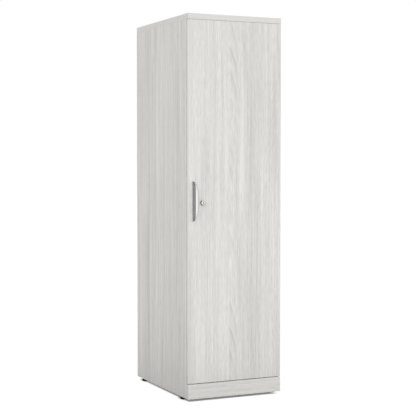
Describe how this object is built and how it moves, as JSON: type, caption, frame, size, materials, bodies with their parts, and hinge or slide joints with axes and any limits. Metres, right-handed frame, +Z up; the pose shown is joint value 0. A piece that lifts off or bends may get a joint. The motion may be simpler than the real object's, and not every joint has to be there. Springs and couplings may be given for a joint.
{
  "type": "wardrobe cabinet",
  "caption": "Tall narrow wardrobe in pale laminate with a hinged door, half-moon cup pull, cam lock, hat shelf, coat rod and levelling feet.",
  "frame": {"origin": "on the floor, below the middle of the part's outline, pull included", "axes": "+Z up along the height, +X to the right along the width, the door faces -Y"},
  "size_m": [0.457, 0.638, 1.6964],
  "materials": {
    "laminate": "matt pale grey wood-grain laminate on chipboard",
    "edge_band": "matt edge banding matched to the laminate",
    "back_board": "thin coated fibreboard",
    "dowel_wood": "plain beech",
    "nickel": "satin nickel plate",
    "lock_chrome": "bright plate",
    "steel": "nickel-plated or zinc-plated steel",
    "foot_black": "black moulded plastic",
    "bumper_rubber": "soft translucent grey"
  },
  "bodies": {
    "carcass": {"left_side_panel": "laminate", "right_side_panel": "laminate", "top_panel": "laminate", "top_edge_band": "edge_band", "bottom_panel": "laminate", "back_panel": "back_board", "toe_kick": "laminate", "case_edge_bands": "edge_band", "case_dowels": "dowel_wood", "hat_shelf": "laminate", "shelf_pins": "steel", "coat_rod": "lock_chrome", "rod_socket_left": "steel", "rod_socket_right": "steel", "rod_socket_screws": "steel", "door_bumpers": "bumper_rubber", "lock_strike": "steel", "lock_strike_screws": "steel", "hinge_screws": "steel", "foot_inserts": "steel", "hinge_arm_1": "steel", "hinge_arm_2": "steel", "hinge_arm_3": "steel", "hinge_arm_4": "steel", "hinge_plate_1": "steel", "hinge_plate_2": "steel", "hinge_plate_3": "steel", "hinge_plate_4": "steel"},
    "door": {"door_panel": "laminate", "door_edge_band": "edge_band", "pull": "nickel", "pull_screws": "steel", "lock_housing": "lock_chrome", "lock_nut": "steel", "hinge_pins": "steel", "hinge_cup_screws": "steel", "hinge_cup_1": "steel", "hinge_cup_2": "steel", "hinge_cup_3": "steel", "hinge_cup_4": "steel"},
    "lock_cylinder": {"lock_plug": "lock_chrome", "lock_cam": "steel", "lock_cam_screw": "steel"},
    "foot_front_left": {"foot_pad_front_left": "foot_black", "foot_stem_front_left": "steel"},
    "foot_front_right": {"foot_pad_front_right": "foot_black", "foot_stem_front_right": "steel"},
    "foot_back_left": {"foot_pad_back_left": "foot_black", "foot_stem_back_left": "steel"},
    "foot_back_right": {"foot_pad_back_right": "foot_black", "foot_stem_back_right": "steel"}
  },
  "joints": [
    {"name": "door_swing", "type": "hinge", "parent": "carcass", "child": "door", "pos_m": [0.21915, -0.2815, 0.876], "axis": [0, 0, 1], "range_deg": [0, 105]},
    {"name": "lock_turn", "type": "hinge", "parent": "door", "child": "lock_cylinder", "pos_m": [-0.1591, -0.291, 0.8744], "axis": [0, 1, 0], "range_deg": [0, 90]},
    {"name": "foot_front_left_level", "type": "slide", "parent": "carcass", "child": "foot_front_left", "axis": [0, 0, -1], "range_m": [-0.0015, 0.012]},
    {"name": "foot_front_right_level", "type": "slide", "parent": "carcass", "child": "foot_front_right", "axis": [0, 0, -1], "range_m": [-0.0015, 0.012]},
    {"name": "foot_back_left_level", "type": "slide", "parent": "carcass", "child": "foot_back_left", "axis": [0, 0, -1], "range_m": [-0.0015, 0.012]},
    {"name": "foot_back_right_level", "type": "slide", "parent": "carcass", "child": "foot_back_right", "axis": [0, 0, -1], "range_m": [-0.0015, 0.012]}
  ]
}
